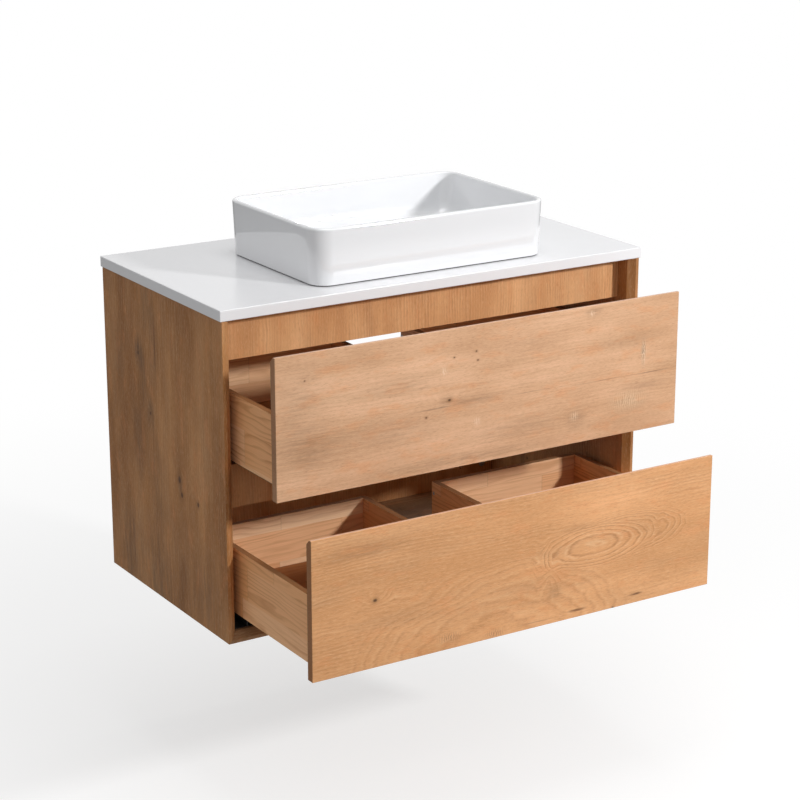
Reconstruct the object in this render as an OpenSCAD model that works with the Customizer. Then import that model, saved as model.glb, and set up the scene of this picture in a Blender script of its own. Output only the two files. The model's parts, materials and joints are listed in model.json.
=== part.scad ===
// Wall-hung bathroom vanity: a two-drawer oak cabinet, a white top and a counter-top basin.
// Millimetres. X runs across the front, +Y into the wall, +Z up.
// The origin is midway between the two upper wall-fixing holes, on the wall plane.

/* [Countertop] */
// Width of the countertop
counter_w = 900; // [760:10:1200]
// Depth of the countertop, from the wall to its front edge
counter_d = 480; // [470:10:560]
// Thickness of the countertop
counter_t = 20; // [16:1:40]
// Radius of the countertop's eased edges
counter_ease = 1.5; // [0.5:0.5:4]
// Countertop standing proud of each cabinet side
side_overhang = 4; // [0:1:12]
// Countertop standing proud of the cabinet's front
front_overhang = 2; // [0:1:12]

/* [Cabinet] */
// Height of the cabinet under the countertop
cabinet_h = 592; // [570:2:720]
// Thickness of the side and bottom panels
panel_t = 18; // [16:1:22]
// Flat part of the panels' front edge and of the drawer fronts' top edge, beside the bevel
flat_edge = 6; // [3:1:10]
// Thickness of the four rails
rail_t = 18; // [16:1:22]
// Front rails set back behind the cabinet's front, which leaves room for the fingers
rail_setback = 40; // [30:1:60]
// Height of the rail under the countertop
top_rail_h = 82; // [60:1:96]
// Height of the rail behind the gap between the drawers
middle_rail_h = 80; // [60:1:96]
// Height of the upper wall-fixing rail
upper_fixing_rail_h = 100; // [80:2:140]
// Height of the lower wall-fixing rail
lower_fixing_rail_h = 80; // [70:2:120]

/* [Wall fixings] */
// Wall-fixing hole from the inner face of the side panel beside it
fixing_inset = 78; // [50:2:200]
// Diameter of a wall-fixing hole
fixing_hole_d = 7; // [5:0.5:10]

/* [Drawers] */
// Height of the finger gap above each drawer front
finger_gap = 32; // [24:1:40]
// Gap between a drawer front and the panel beside it
front_side_gap = 2; // [1:0.5:4]
// Gap between the lower drawer front and the bottom panel
front_bottom_gap = 2; // [2:0.5:4]
// Thickness of a drawer front
front_t = 16; // [15:1:22]
// Chamfer on the edges of a drawer front
front_ease = 0.6; // [0.2:0.1:2]
// How far the drawers travel from closed to fully open
travel = 350; // [300:5:350]
// How far the upper drawer stands open
upper_open = 148; // [0:1:290]
// How far the lower drawer stands open
lower_open = 262; // [0:1:290]

/* [Drawer boxes] */
// Thickness of a drawer box's sides, backs and inner walls
box_t = 12; // [12:1:16]
// Depth of a drawer box behind its front
box_d = 392; // [380:2:400]
// Gap between a drawer box and the side panel
box_side_gap = 11; // [8:1:14]
// Top edge of the box below the top edge of the front
box_top_drop = 106; // [90:2:120]
// Bottom edge of the box above the bottom edge of the front
box_lift = 24; // [22:1:30]
// Thickness of a drawer bottom
bottom_t = 10; // [8:1:12]
// Depth of the groove that holds the drawer bottom
groove = 5; // [3:1:7]
// Underside of the drawer bottom above the bottom edge of the box
bottom_recess = 12; // [10:1:16]
// Width of the cut-out round the waste pipe
cutout_w = 150; // [100:5:200]
// Closed end of the cut-out behind the drawer front
cutout_front = 110; // [80:5:140]

/* [Runners] */
// Thickness of the runners' steel
runner_steel = 1.5; // [1:0.1:1.8]
// Width of the runner member that carries the drawer
runner_w = 20; // [18:1:24]
// Running clearance between runner members
runner_play = 0.5; // [0.3:0.1:0.6]
// How far the moving members hang below the box
runner_drop = 10; // [8:1:12]
// Height of the flange that is screwed to the side panel
flange_h = 28; // [24:1:34]
// Front end of the lower runners behind the drawer front
lower_runner_setback = 2; // [1:1:20]
// Clearance between a moving member and the middle rail
rail_clearance = 1; // [1:0.5:4]
// Length of a runner's fixed member beyond the travel
runner_spare = 8; // [4:1:12]
// Diameter of the runner's hook in the back of the drawer box
hook_d = 5; // [4:0.5:6]

/* [Release catches] */
// Width of a catch under the drawer's front corner
catch_w = 30; // [28:1:40]
// Length of a catch
catch_l = 54; // [50:1:64]
// Thickness of a catch's body
catch_t = 10; // [8:0.5:11]
// Diameter of a lever's pivot pin
pivot_d = 5; // [4:0.5:6]
// Diametral running clearance of a lever on its pin
pivot_play = 0.12; // [0.08:0.02:0.18]
// Clearance above and below a lever
lever_play = 0.5; // [0.3:0.1:0.8]
// Thickness of a lever
lever_t = 6; // [5:0.5:7]
// Length of a lever's finger arm, from the pin to the middle of its finger pad
lever_arm = 28; // [24:1:30]

/* [Basin] */
// Width of the basin across its rim
basin_w = 500; // [420:10:560]
// Depth of the basin across its rim
basin_d = 338; // [300:2:360]
// Height of the basin
basin_h = 104; // [80:1:140]
// Corner radius of the basin's rim
basin_corner = 38; // [30:1:60]
// How much smaller the foot is than the rim, on each side
basin_taper = 4; // [0:1:10]
// Thickness of the basin's rim
basin_rim = 9; // [7:0.5:12]
// Thickness of the basin's floor at the waste
basin_floor = 14; // [10:1:20]
// Diameter of the basin's waste hole
waste_hole_d = 46; // [40:1:50]
// Front of the basin behind the front edge of the countertop
basin_setback = 42; // [20:1:90]
// Basin standing off the middle of the countertop, to the right
basin_shift = 13; // [-60:1:20]
// Thickness of the sealant that beds the basin
seal_t = 1.8; // [1:0.1:3]
// Sealant set in from the edge of the basin's foot
seal_inset = 3; // [1:0.5:6]
// Width of the bead of sealant
seal_w = 16; // [8:1:24]
// Clearance of the hole in the countertop round the waste hole
waste_clearance = 7; // [4:1:12]

/* [Fittings] */
// Diameter of the wooden dowels in the cabinet
dowel_d = 8; // [6:1:10]
// Length of the wooden dowels in the cabinet
dowel_l = 30; // [24:2:34]
// Part of a dowel that sits in the side panel
dowel_in_panel = 12; // [8:1:13]
// Diameter of a cam lock's housing
cam_d = 15; // [12:1:18]
// Height of a cam lock's housing
cam_h = 12.5; // [11:0.5:14]
// Middle of a cam lock from the end of its rail
cam_inset = 24; // [20:1:34]
// Diameter of a cam bolt
cam_bolt_d = 6; // [5:0.5:7]
// Clearance of dowels, cams and screws in their holes, all round
hole_gap = 0.1; // [0.1:0.05:0.3]
// Length of the legs of a countertop bracket
bracket_l = 30; // [24:1:40]
// Width of a countertop bracket
bracket_w = 20; // [16:1:30]
// Thickness of a countertop bracket
bracket_t = 2; // [1.5:0.5:3]
// Middle of a bracket from the inner face of the side panel beside it
bracket_inset = 138; // [80:2:180]
// Screw hole of a bracket from its corner
bracket_hole = 18; // [14:1:22]
// Diameter of the screws
screw_d = 3.5; // [3:0.5:4]
// Diameter of the screws' heads
screw_head_d = 7; // [6:0.5:8]
// Height of the screws' heads
screw_head_h = 2; // [1.5:0.5:2.5]

/* [Hidden] */
$fn = 48;

oak_shade = "#87613f";
oak_light = "#d0a078";
box_wood = "#c08a5c";
white = "#f2f2f4";
steel = "#b4b6b8";
black_steel = "#2b2c2e";
black_plastic = "#1b1b1c";

// Cabinet planes
cabinet_w = counter_w - 2 * side_overhang;
cabinet_d = counter_d - front_overhang;
cabinet_top = upper_fixing_rail_h / 2;
cabinet_bottom = cabinet_top - cabinet_h;
floor_z = cabinet_bottom + panel_t;
inner_x = cabinet_w / 2 - panel_t;
front_y = -cabinet_d;
bevel = panel_t - flat_edge;

// Drawer frame: X from the middle, Y from the front's face, Z from the front's bottom edge
front_w = 2 * (inner_x - front_side_gap);
front_h = (cabinet_top - floor_z - 2 * finger_gap - front_bottom_gap) / 2;
lower_front_z = floor_z + front_bottom_gap;
upper_front_z = lower_front_z + front_h + finger_gap;
box_top = front_h - box_top_drop;
box_back = front_t + box_d;
box_x = inner_x - box_side_gap;
box_inner_x = box_x - box_t;
bottom_z = box_lift + bottom_recess;
cutout_x = cutout_w / 2;
cutout_y = front_t + cutout_front;

// Runner cross-section in the drawer frame: each moving member is an upturned channel
member_low = box_lift - runner_drop;
member_far_x = box_inner_x - 1;
member_mid_x = member_far_x - runner_w / 2;
wall_and_play = runner_steel + runner_play;
hook_z = bottom_z + bottom_t + 6;
hook_l = 8;
middle_w = runner_w - 2 * wall_and_play;
fixed_w = middle_w - 2 * wall_and_play;
middle_top = bottom_z - wall_and_play;
fixed_top = middle_top - wall_and_play;
runner_floor = -front_bottom_gap;
flange_top = runner_floor + flange_h;
rail_back_y = rail_setback + rail_t;
lower_runner_start = front_t + lower_runner_setback;
upper_runner_start = rail_back_y + rail_clearance;
runner_l = travel + runner_spare;
middle_l = travel - 2;

// Rails: [middle in Y, middle in Z, height, direction from the middle to the face with the cams]
middle_rail_top = upper_front_z + member_low - rail_clearance;
front_rail_y = front_y + rail_setback + rail_t / 2;
RAILS = [
    [front_rail_y, cabinet_top - top_rail_h / 2, top_rail_h, 1],
    [front_rail_y, middle_rail_top - middle_rail_h / 2, middle_rail_h, 1],
    [-rail_t / 2, 0, upper_fixing_rail_h, -1],
    [-rail_t / 2, floor_z + lower_fixing_rail_h / 2, lower_fixing_rail_h, -1]];
dowel_edge = 15;
cam_bolt_in_panel = 11;

// Basin
basin_x = basin_shift;
basin_y = -counter_d + basin_setback + basin_d / 2;
counter_top = cabinet_top + counter_t;
basin_z = counter_top + seal_t;
foot_w = basin_w - 2 * basin_taper;
foot_d = basin_d - 2 * basin_taper;
foot_corner = basin_corner - basin_taper;

// Runner screws, along the flange
screw_l = 12;
RUNNER_SCREWS = [0.06, 0.5, 0.94];

// Drawer joints
drawer_dowel_d = 6;
drawer_dowel_l = 24;
drawer_dowel_in_front = 10;
drawer_screw_l = 34;
catch_screw_l = 17;
DRAWER_JOINTS = [0.22, 0.78];
DRAWER_DOWELS = [0.15, 0.5, 0.85];

// Catches and levers
catch_gap = 2;
catch_x = member_far_x - runner_w - catch_gap;
catch_y = front_t + catch_gap;
pivot_x = catch_x - catch_w / 2;
pivot_y = catch_y + catch_l - 14;
lever_low = bottom_z - catch_t - lever_play - lever_t;
pin_head_t = 1.5;
pad_d = 14;
tooth_x = catch_w / 2 + catch_gap + runner_steel - 0.1;
tooth_y = 7;
tooth_w = 4;
slot_play = 0.5;
slot_l = 9;
catch_screw_x = catch_w / 2 - 4;
CATCH_SCREWS = [-30, 8];

module block(low, high) {
    translate(low) cube(high - low);
}

module chamfered_rect(w, h, e) {
    polygon([[e, 0], [w - e, 0], [w, e], [w, h - e], [w - e, h], [e, h], [0, h - e], [0, e]]);
}

// A board with a small chamfer on all its edges
module chamfered_board(low, high, e) {
    size = high - low;
    translate(low) intersection() {
        linear_extrude(size.z) chamfered_rect(size.x, size.y, e);
        translate([0, size.y, 0]) rotate([90, 0, 0])
            linear_extrude(size.y) chamfered_rect(size.x, size.z, e);
        rotate([90, 0, 90]) linear_extrude(size.x) chamfered_rect(size.y, size.z, e);
    }
}

// A rectangle with round corners, centred
module round_rect(w, d, r) {
    square([w - 2 * r, d], center = true);
    square([w, d - 2 * r], center = true);
    for (x = [-1, 1], y = [-1, 1])
        translate([x * (w / 2 - r), y * (d / 2 - r)]) circle(r);
}

// A rod along X, from x0 to x1
module rod_x(x0, x1, y, z, r) {
    translate([x0, y, z]) rotate([0, 90, 0]) cylinder(h = x1 - x0, r = r);
}

// A rod along Y, from y0 to y1
module rod_y(x, y0, y1, z, r) {
    translate([x, y1, z]) rotate([90, 0, 0]) cylinder(h = y1 - y0, r = r);
}

// A pan-head screw along +X, with the underside of its head at the origin
module screw(length) {
    rotate([0, 90, 0]) {
        cylinder(h = length, d = screw_d);
        translate([0, 0, -screw_head_h]) cylinder(h = screw_head_h, d = screw_head_d);
    }
}

// The hole that a screw's shank needs
module screw_hole(length) {
    rotate([0, 90, 0]) translate([0, 0, -1])
        cylinder(h = length + 1 + hole_gap, d = screw_d + 2 * hole_gap);
}

// A countersunk screw along +X with its head flush at the origin, or with a gap the hole for it
module wood_screw(length, gap) {
    rotate([0, 90, 0]) {
        cylinder(h = length + gap, d = screw_d + 2 * gap);
        cylinder(h = screw_head_h, d1 = screw_head_d + 2 * gap, d2 = screw_d + 2 * gap);
        if (gap > 0) translate([0, 0, -1]) cylinder(h = 1, d = screw_head_d + 2 * gap);
    }
}

// Both sides of the cabinet: side 1 is the right, side -1 its mirror image
module on_side(side) {
    mirror([side < 0 ? 1 : 0, 0, 0]) children();
}

// Cabinet panels, made for the right side

// The panels' section: a flat front edge with a 45 degree bevel on the inner side
module panel_section() {
    polygon([[0, 0], [flat_edge, 0], [panel_t, bevel], [panel_t, cabinet_d], [0, cabinet_d]]);
}

// The corner that a 45 degree mitre takes off, as a prism along Y
module mitre_waste() {
    translate([0, 1, 0]) rotate([90, 0, 0]) linear_extrude(cabinet_d + 2)
        polygon([[0, 0], [-2 * panel_t, 0], [-2 * panel_t, 2 * panel_t]]);
}

// Holes in a side panel for the rails' dowels and cam bolts
module rail_joint_holes() {
    for (rail = RAILS) {
        for (s = [-1, 1])
            rod_x(inner_x - 1, inner_x + dowel_in_panel + hole_gap, rail[0],
                  rail[1] + s * (rail[2] / 2 - dowel_edge), dowel_d / 2 + hole_gap);
        rod_x(inner_x - 1, inner_x + cam_bolt_in_panel + hole_gap, rail[0], rail[1],
              cam_bolt_d / 2 + hole_gap);
    }
}

module runner_screw_places(start, z) {
    for (share = RUNNER_SCREWS)
        translate([inner_x, front_y + start + share * runner_l,
                   z + (runner_floor + flange_top) / 2]) children();
}

module side_panel() {
    difference() {
        translate([cabinet_w / 2, front_y, cabinet_bottom]) mirror([1, 0, 0])
            linear_extrude(cabinet_h) panel_section();
        translate([cabinet_w / 2, 0, cabinet_bottom]) mitre_waste();
        rail_joint_holes();
        runner_screw_places(upper_runner_start, upper_front_z) screw_hole(screw_l - runner_steel);
        runner_screw_places(lower_runner_start, lower_front_z) screw_hole(screw_l - runner_steel);
    }
}

module left_side_panel() {
    color(oak_shade) on_side(-1) side_panel();
}

module right_side_panel() {
    color(oak_shade) on_side(1) side_panel();
}

module bottom_panel() {
    color(oak_light) intersection() {
        translate([-cabinet_w / 2, front_y, cabinet_bottom]) rotate([90, 0, 90])
            linear_extrude(cabinet_w)
                polygon([[0, 0], [cabinet_d, 0], [cabinet_d, panel_t], [bevel, panel_t],
                         [0, flat_edge]]);
        translate([0, 0, cabinet_bottom]) rotate([90, 0, 0]) linear_extrude(cabinet_d)
            polygon([[-cabinet_w / 2, 0], [cabinet_w / 2, 0], [inner_x, panel_t],
                     [-inner_x, panel_t]]);
    }
}

// Rails, with the holes in their ends and the pockets for the cam locks
module rail(i) {
    y = RAILS[i][0];
    z = RAILS[i][1];
    h = RAILS[i][2];
    cam_side = RAILS[i][3];
    face = y + cam_side * rail_t / 2;
    difference() {
        block([-inner_x, y - rail_t / 2, z - h / 2], [inner_x, y + rail_t / 2, z + h / 2]);
        for (side = [-1, 1]) on_side(side) {
            for (s = [-1, 1])
                rod_x(inner_x - (dowel_l - dowel_in_panel) - hole_gap, inner_x + 1, y,
                      z + s * (h / 2 - dowel_edge), dowel_d / 2 + hole_gap);
            rod_x(inner_x - cam_inset, inner_x + 1, y, z, cam_bolt_d / 2 + hole_gap);
            rod_y(inner_x - cam_inset, min(face, face - cam_side * (cam_h + hole_gap)),
                  max(face, face - cam_side * (cam_h + hole_gap)), z, cam_d / 2 + hole_gap);
        }
    }
}

// Places of the countertop brackets: [X, Y of the rail's face, direction away from the rail]
BRACKETS = [for (s = [-1, 1]) each [
    [s * (inner_x - bracket_inset), front_y + rail_back_y, 1],
    [s * (inner_x - bracket_inset), -rail_t, -1]]];

module bracket_rail_holes() {
    for (b = BRACKETS)
        translate([b[0], b[1], cabinet_top - bracket_hole])
            rotate([0, 0, -90 * b[2]]) screw_hole(screw_l - bracket_t);
}

module top_front_rail() {
    color(oak_light) difference() {
        rail(0);
        bracket_rail_holes();
    }
}

module middle_front_rail() {
    color(oak_light) rail(1);
}

module wall_fixing_holes(z) {
    for (s = [-1, 1])
        rod_y(s * (inner_x - fixing_inset), -rail_t - 1, 1, z, fixing_hole_d / 2);
}

module upper_fixing_rail() {
    color(oak_light) difference() {
        rail(2);
        bracket_rail_holes();
        wall_fixing_holes(RAILS[2][1]);
    }
}

module lower_fixing_rail() {
    color(oak_light) difference() {
        rail(3);
        wall_fixing_holes(RAILS[3][1]);
    }
}

// Fittings inside the cabinet's corners
module dowels() {
    color(box_wood) for (side = [-1, 1], rail = RAILS, s = [-1, 1])
        on_side(side)
            rod_x(inner_x - (dowel_l - dowel_in_panel), inner_x + dowel_in_panel, rail[0],
                  rail[1] + s * (rail[2] / 2 - dowel_edge), dowel_d / 2);
}

module cam_bolts() {
    color(steel) for (side = [-1, 1], rail = RAILS)
        on_side(side)
            rod_x(inner_x - cam_inset + 2, inner_x + cam_bolt_in_panel, rail[0], rail[1],
                  cam_bolt_d / 2);
}

module cam_locks() {
    color(steel) for (side = [-1, 1], rail = RAILS)
        on_side(side) {
            face = rail[0] + rail[3] * rail_t / 2;
            far = face - rail[3] * cam_h;
            difference() {
                rod_y(inner_x - cam_inset, min(face, far), max(face, far), rail[1], cam_d / 2);
                rod_x(inner_x - cam_inset, inner_x, rail[0], rail[1], cam_bolt_d / 2 + hole_gap);
                translate([inner_x - cam_inset, face, rail[1]])
                    cube([cam_d / 2, 2, 2], center = true);
            }
        }
}

module countertop_brackets() {
    color(steel) for (b = BRACKETS)
        translate([b[0], b[1], cabinet_top]) rotate([0, 0, b[2] > 0 ? 0 : 180])
            difference() {
                translate([-bracket_w / 2, 0, 0]) rotate([90, 0, 90]) linear_extrude(bracket_w)
                    polygon([[0, 0], [bracket_l, 0], [bracket_l, -bracket_t],
                             [bracket_t, -bracket_t], [bracket_t, -bracket_l], [0, -bracket_l]]);
                translate([0, bracket_t, -bracket_hole]) rotate([0, 0, -90])
                    screw_hole(bracket_t);
                translate([0, bracket_hole, -bracket_t]) rotate([0, -90, 0])
                    screw_hole(bracket_t);
            }
}

// Screws through the brackets, level into the rails and up into the countertop
module bracket_screws() {
    color(steel) for (b = BRACKETS)
        translate([b[0], b[1], cabinet_top]) rotate([0, 0, b[2] > 0 ? 0 : 180]) {
            translate([0, bracket_t, -bracket_hole]) rotate([0, 0, -90]) screw(screw_l);
            translate([0, bracket_hole, -bracket_t]) rotate([0, -90, 0]) screw(screw_l);
        }
}

// Countertop, with eased edges and the hole for the basin's waste
module countertop() {
    r = counter_ease;
    color(white) difference() {
        translate([0, -counter_d / 2, cabinet_top + counter_t / 2]) intersection() {
            translate([0, 0, -counter_t / 2]) linear_extrude(counter_t)
                round_rect(counter_w, counter_d, r);
            rotate([90, 0, 0]) translate([0, 0, -counter_d / 2]) linear_extrude(counter_d)
                round_rect(counter_w, counter_t, r);
            rotate([90, 0, 90]) translate([0, 0, -counter_w / 2]) linear_extrude(counter_w)
                round_rect(counter_d, counter_t, r);
        }
        translate([basin_x, basin_y, cabinet_top - 1])
            cylinder(h = counter_t + 2, r = waste_hole_d / 2 + waste_clearance);
        for (b = BRACKETS)
            translate([b[0], b[1] + b[2] * bracket_hole, cabinet_top])
                rotate([0, -90, 0]) screw_hole(screw_l - bracket_t);
    }
}

// Basin
module slice(w, d, r, z) {
    translate([0, 0, z]) linear_extrude(0.01) round_rect(w, d, r, $fn = 40);
}

module bowl_slice(inset, z) {
    slice(basin_w - 2 * inset, basin_d - 2 * inset, basin_corner - min(inset, basin_corner / 2), z);
}

module basin() {
    edge = 2;
    color(white) translate([basin_x, basin_y, basin_z]) difference() {
        hull() {
            slice(foot_w, foot_d, foot_corner, 0);
            slice(basin_w, basin_d, basin_corner, basin_h - edge);
            slice(basin_w - 2 * edge, basin_d - 2 * edge, basin_corner - edge, basin_h - 0.01);
        }
        hull() {
            bowl_slice(basin_rim, basin_h);
            bowl_slice(basin_rim + 11, basin_floor + 26);
            bowl_slice(basin_rim + 21, basin_floor + 10);
            bowl_slice(basin_rim + 41, basin_floor + 3);
            translate([0, 0, basin_floor]) cylinder(h = 0.01, r = waste_hole_d / 2 + 11);
        }
        hull() {
            bowl_slice(basin_rim, basin_h - edge);
            bowl_slice(basin_rim - edge, basin_h);
        }
        translate([0, 0, -1]) cylinder(h = basin_floor + 2, d = waste_hole_d);
    }
}

module basin_seal() {
    outer_w = foot_w - 2 * seal_inset;
    outer_d = foot_d - 2 * seal_inset;
    outer_r = foot_corner - seal_inset;
    color("#3c3c3e") translate([basin_x, basin_y, counter_top]) linear_extrude(seal_t)
        difference() {
            round_rect(outer_w, outer_d, outer_r);
            round_rect(outer_w - 2 * seal_w, outer_d - 2 * seal_w, max(outer_r - seal_w, 1));
        }
}

// Runners, made for the right side in the drawer frame
module upturned_channel(w, top, low, y0, y1) {
    difference() {
        block([member_mid_x - w / 2, y0, low], [member_mid_x + w / 2, y1, top]);
        block([member_mid_x - w / 2 + runner_steel, y0 - 1, low - 1],
              [member_mid_x + w / 2 - runner_steel, y1 + 1, top - runner_steel]);
    }
}

// The member fixed to the cabinet: flange, floor and the channel that the middle member rides on
module fixed_member(start) {
    inner_face = member_mid_x - fixed_w / 2;
    difference() {
        union() {
            block([inner_x - runner_steel, start, runner_floor], [inner_x, start + runner_l, flange_top]);
            block([inner_face, start, runner_floor],
                  [inner_x, start + runner_l, runner_floor + runner_steel]);
            upturned_channel(fixed_w, fixed_top, runner_floor, start, start + runner_l);
        }
        for (share = RUNNER_SCREWS)
            translate([inner_x - runner_steel, start + share * runner_l,
                       (runner_floor + flange_top) / 2]) screw_hole(runner_steel);
    }
}

module middle_member(start) {
    upturned_channel(middle_w, middle_top, member_low, start + 1, start + 1 + middle_l);
}

// The member under the drawer: the catch's tooth holds its slot, and its hook holds the back
module drawer_member() {
    tab = hook_d + 6;
    difference() {
        union() {
            upturned_channel(runner_w, bottom_z, member_low, front_t + 2, box_back);
            block([member_mid_x - tab / 2, box_back, bottom_z - runner_steel],
                  [member_mid_x + tab / 2, box_back + runner_steel, hook_z + tab / 2]);
            rod_y(member_mid_x, box_back - hook_l, box_back + runner_steel, hook_z, hook_d / 2);
        }
        block([member_far_x - runner_w - 1, pivot_y + tooth_y - slot_play, lever_low - slot_play],
              [member_far_x - runner_w + runner_steel + 0.1, pivot_y + tooth_y + slot_l,
               lever_low + lever_t + slot_play]);
    }
}

// Places a piece of a drawer that stands open by the given length
module at_drawer(z, open) {
    translate([0, front_y - open, z]) children();
}

module runner(side, start, z) {
    color(black_steel) on_side(side) at_drawer(z, 0) fixed_member(start);
}

module upper_left_runner() { runner(-1, upper_runner_start, upper_front_z); }
module upper_right_runner() { runner(1, upper_runner_start, upper_front_z); }
module lower_left_runner() { runner(-1, lower_runner_start, lower_front_z); }
module lower_right_runner() { runner(1, lower_runner_start, lower_front_z); }

module runner_screws() {
    color(steel) for (side = [-1, 1]) on_side(side) {
        runner_screw_places(upper_runner_start, upper_front_z)
            translate([-runner_steel, 0, 0]) screw(screw_l);
        runner_screw_places(lower_runner_start, lower_front_z)
            translate([-runner_steel, 0, 0]) screw(screw_l);
    }
}

// The middle members go half as far as their drawer
module middle(side, start, z, open) {
    color(black_steel) on_side(side) at_drawer(z, open / 2) middle_member(start);
}

module upper_left_middle_member() {
    middle(-1, upper_runner_start, upper_front_z, upper_open);
}
module upper_right_middle_member() {
    middle(1, upper_runner_start, upper_front_z, upper_open);
}
module lower_left_middle_member() {
    middle(-1, lower_runner_start, lower_front_z, lower_open);
}
module lower_right_middle_member() {
    middle(1, lower_runner_start, lower_front_z, lower_open);
}

// Drawer pieces, in the drawer frame

// Height of a joint's screw or dowel, as a share of the box's height above its bottom board
function joint_z(share) =
    bottom_z + bottom_t + share * (box_top - bottom_z - bottom_t);

// Screws that join a side to the back; with a gap these are their holes
module side_back_screws(gap) {
    for (share = DRAWER_JOINTS)
        translate([box_x, box_back - box_t / 2, joint_z(share)]) mirror([1, 0, 0])
            wood_screw(drawer_screw_l, gap);
}

// Screws through a cut-out wall, outwards into the back and inwards into the cut-out's front
module cutout_screws(gap) {
    for (share = DRAWER_JOINTS) {
        translate([cutout_x, box_back - box_t / 2, joint_z(share)])
            wood_screw(drawer_screw_l, gap);
        translate([cutout_x + box_t, cutout_y - box_t / 2, joint_z(share)]) mirror([1, 0, 0])
            wood_screw(drawer_screw_l, gap);
    }
}

// Screws up through the catches into the drawer bottom
module catch_screws(gap) {
    for (y = CATCH_SCREWS)
        translate([pivot_x - catch_screw_x, pivot_y + y, bottom_z - catch_t]) rotate([0, -90, 0])
            wood_screw(catch_screw_l, gap);
}

module front_dowels(grow) {
    for (share = DRAWER_DOWELS)
        rod_y(box_x - box_t / 2, front_t - drawer_dowel_in_front - grow,
              front_t - drawer_dowel_in_front + drawer_dowel_l + grow,
              joint_z(share), drawer_dowel_d / 2 + grow);
}

// A drawer front: its top edge has the panels' 45 degree bevel, on the back
module drawer_front() {
    color(oak_light) difference() {
        chamfered_board([-front_w / 2, 0, 0], [front_w / 2, front_t, front_h], front_ease);
        translate([-front_w / 2 - 1, 0, front_h]) rotate([90, 0, 90]) linear_extrude(front_w + 2)
            polygon([[flat_edge - 1, 1], [front_t + 1, 1], [front_t + 1, flat_edge - front_t - 1]]);
        for (side = [-1, 1]) on_side(side) front_dowels(hole_gap);
    }
}

// The U-shaped board of the drawer bottom, which also cuts the grooves in the box
module bottom_board() {
    wall_x = cutout_x + box_t - groove;
    difference() {
        block([-box_inner_x - groove, front_t, bottom_z],
              [box_inner_x + groove, box_back - box_t + groove, bottom_z + bottom_t]);
        block([-wall_x, cutout_y - box_t + groove, bottom_z - 1],
              [wall_x, box_back, bottom_z + bottom_t + 1]);
    }
}

module drawer_side(side) {
    color(box_wood) on_side(side) difference() {
        block([box_inner_x, front_t, box_lift], [box_x, box_back, box_top]);
        bottom_board();
        front_dowels(hole_gap);
        side_back_screws(hole_gap);
    }
}

// A back, with the notch that the runner passes through and the hole for its hook
module drawer_back(side) {
    color(box_wood) on_side(side) difference() {
        block([cutout_x + box_t, box_back - box_t, box_lift], [box_inner_x, box_back, box_top]);
        bottom_board();
        block([member_far_x - runner_w - 1, box_back - box_t - 1, box_lift - 1],
              [box_inner_x + 1, box_back + 1, bottom_z]);
        rod_y(member_mid_x, box_back - hook_l - hole_gap, box_back + 1, hook_z,
              hook_d / 2 + hole_gap);
        side_back_screws(hole_gap);
        cutout_screws(hole_gap);
    }
}

module drawer_cutout_wall(side) {
    color(box_wood) on_side(side) difference() {
        block([cutout_x, cutout_y - box_t, box_lift], [cutout_x + box_t, box_back, box_top]);
        bottom_board();
        cutout_screws(hole_gap);
    }
}

module drawer_cutout_front() {
    color(box_wood) difference() {
        block([-cutout_x, cutout_y - box_t, box_lift], [cutout_x, cutout_y, box_top]);
        bottom_board();
        for (side = [-1, 1]) on_side(side) cutout_screws(hole_gap);
    }
}

module drawer_bottom() {
    color(box_wood) difference() {
        bottom_board();
        for (side = [-1, 1]) on_side(side) catch_screws(hole_gap);
    }
}

module drawer_dowels() {
    color(box_wood) for (side = [-1, 1]) on_side(side) front_dowels(0);
}

module drawer_screws() {
    color(steel) for (side = [-1, 1]) on_side(side) {
        side_back_screws(0);
        cutout_screws(0);
        catch_screws(0);
    }
}

// A catch under the drawer's front corner, with the headed pin that its lever turns on
module catch_body(side) {
    head_z = lever_low - lever_play - pin_head_t;
    color(black_plastic) on_side(side) {
        difference() {
            block([catch_x - catch_w, catch_y, bottom_z - catch_t],
                  [catch_x, catch_y + catch_l, bottom_z]);
            catch_screws(hole_gap);
        }
        translate([pivot_x, pivot_y, head_z]) cylinder(h = pin_head_t, d = pivot_d + 3);
        translate([pivot_x, pivot_y, head_z]) cylinder(h = bottom_z - 1 - head_z, d = pivot_d);
    }
}

// A lever: a ring on the pin, a finger pad to the front and a tooth in the runner's slot
module lever_body(side) {
    color(black_plastic) on_side(side) translate([pivot_x, pivot_y, lever_low]) difference() {
        linear_extrude(lever_t) {
            circle(d = pivot_d + 8);
            translate([-3, -lever_arm]) square([6, lever_arm]);
            translate([0, -lever_arm]) circle(d = pad_d);
            translate([-3, 0]) square([6, tooth_y + tooth_w]);
            translate([-3, tooth_y]) square([3 + tooth_x, tooth_w]);
        }
        translate([0, 0, -1]) cylinder(h = lever_t + 2, d = pivot_d + pivot_play);
    }
}

module at_upper() { at_drawer(upper_front_z, upper_open) children(); }
module at_lower() { at_drawer(lower_front_z, lower_open) children(); }

module runner_in_drawer(side) {
    color(black_steel) on_side(side) drawer_member();
}

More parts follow.
